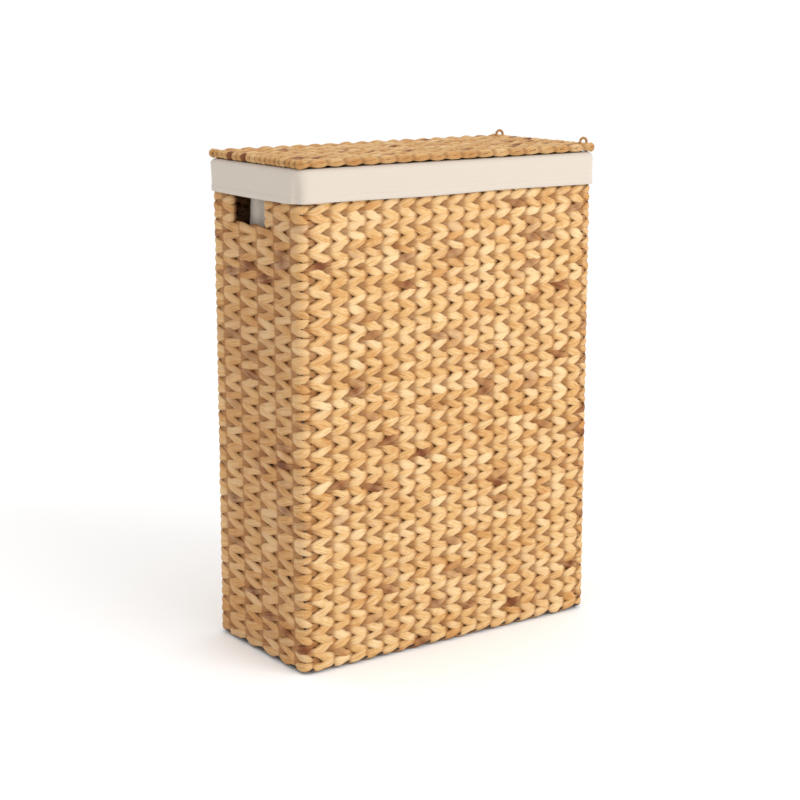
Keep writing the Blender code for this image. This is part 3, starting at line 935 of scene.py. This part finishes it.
def hingeLoop(name, side, material):
    build = loopShape
    rng = np.random.default_rng(build["seed"] + (1 if side > 0 else 0))
    halfWide = (loopHigh.x - loopLow.x) / 2 - build["plyRadius"] - build["twistRadius"]
    low, high = loopLow.z + halfWide + 0.00185, loopHigh.z - halfWide - 0.00185
    straight = high - low
    total = 2 * straight + 2 * pi * halfWide
    shape = bmesh.new()
    part = np.arange(build["rings"]) / build["rings"]
    for ply in (0, pi):
        centres = []
        for p in part:
            way = p * total
            if way < straight:
                point, normal = (halfWide, low + way), (1, 0)
            elif way < straight + pi * halfWide:
                angle = (way - straight) / halfWide
                normal = (cos(angle), sin(angle))
                point = (halfWide * normal[0], high + halfWide * normal[1])
            elif way < 2 * straight + pi * halfWide:
                point, normal = (-halfWide, high - (way - straight - pi * halfWide)), (-1, 0)
            else:
                angle = pi + (way - 2 * straight - pi * halfWide) / halfWide
                normal = (cos(angle), sin(angle))
                point = (halfWide * normal[0], low + halfWide * normal[1])
            twist = 2 * pi * build["turns"] * p + ply
            out = build["twistRadius"] * cos(twist)
            centres.append((
                halfX + point[0] + normal[0] * out,
                side * loopY + build["twistRadius"] * sin(twist),
                point[1] + normal[1] * out,
            ))
        centres = np.array(centres)
        radius = np.full(len(centres), build["plyRadius"])
        tone = np.ones((len(centres), 4))
        tone[:, 0] = 0.45 + wander(rng, part, 1, 6, 20, 0.08)
        tone[:, 1] = 0.28
        tone[:, 2] = rng.uniform(0, 1)
        sideways = np.array([0.0, 1.0, 0.0])
        bendStrand(shape, centres, radius, radius, sideways, tone, part * total, build["sides"], 0.04)
    return finishPiece(name, shape, material, "hinge_loops")


# Studio

studio = {
    "lens": 81.7,
    "camera": (-1.348, -1.882, 0.809),
    "azimuth": 35.44,
    "pitch": 11.16,
    "shift": -0.05,
    "sky": 1.02,
    "keyPlace": (0.9, -3.0, 1.9),
    "keyAim": (0, 0, 0.35),
    "keySize": 2.6,
    "keyPower": 66,
    "floorSize": 200,
}


def makeStudio():
    scene = bpy.context.scene
    scene.view_settings.view_transform = "Standard"
    cameraData = bpy.data.cameras.new("camera")
    cameraData.lens = studio["lens"]
    cameraData.shift_y = studio["shift"]
    camera = bpy.data.objects.new("camera", cameraData)
    camera.location = studio["camera"]
    camera.rotation_euler = (radians(90 - studio["pitch"]), 0, -radians(studio["azimuth"]))
    scene.collection.objects.link(camera)
    scene.camera = camera

    world = bpy.data.worlds.new("studioSky")
    scene.world = world
    world.use_nodes = True
    background = world.node_tree.nodes["Background"]
    background.inputs["Color"].default_value = (1, 1, 1, 1)
    background.inputs["Strength"].default_value = studio["sky"]

    lamp = bpy.data.lights.new("keyLight", "AREA")
    lamp.size = studio["keySize"]
    lamp.energy = studio["keyPower"]
    light = bpy.data.objects.new("keyLight", lamp)
    light.location = studio["keyPlace"]
    ray = Vector(studio["keyAim"]) - Vector(studio["keyPlace"])
    light.rotation_euler = ray.to_track_quat("-Z", "Y").to_euler()
    scene.collection.objects.link(light)

    floorShape = bmesh.new()
    bmesh.ops.create_grid(floorShape, x_segments=1, y_segments=1, size=studio["floorSize"])
    floorMesh = bpy.data.meshes.new("floor")
    floorShape.to_mesh(floorMesh)
    floorShape.free()
    floor = bpy.data.objects.new("floor", floorMesh)
    scene.collection.objects.link(floor)
    material, tree, shader = newMaterial("paleFloor")
    shader.inputs["Base Color"].default_value = (0.98, 0.98, 0.98, 1)
    shader.inputs["Roughness"].default_value = 0.8
    floorMesh.materials.append(material)


makeStudio()
print("studio ready")

weaveLook = hyacinth("hyacinth")
bands = twinedWalls(weaveLook)
wallNodes = [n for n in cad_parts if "weave" in n and not n.startswith(("lid", "base"))]
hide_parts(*wallNodes)
print("walls twined:", len(bands), "bands")

lidPanel = flatTwine("lid_panel", "lid", weaveLook, lidShape)
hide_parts("lid_weave")
basePanel = flatTwine("base_panel", "hamper", weaveLook, baseShape)
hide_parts("base_weave")
print("lid and base twined")

liner, linerAround, linerDeep, floorWidth, floorArea = linerPiece(cotton())
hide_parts(*[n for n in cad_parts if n.startswith("liner_")])
print("liner sewn")

cordLook = hyacinth("hingeCord")
for side, name in ((-1, "front"), (1, "back")):
    loop = hingeLoop(f"cord_loop_{name}", side, cordLook)
    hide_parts(f"hinge_loop_{name}")
print("hinge loops tied")

steel = cageSteel()
for name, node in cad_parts.items():
    if name.startswith(("top_rim", "base_wire", "corner_post", "lid_wire")) or name.endswith("_stakes"):
        for slot in node.material_slots:
            slot.material = steel

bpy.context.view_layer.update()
meshes = [p.data for p in bpy.data.objects if p.type == "MESH"]
triangles = sum(len(mesh.loop_triangles) or len(mesh.polygons) * 2 for mesh in meshes)
print("about", triangles, "triangles")
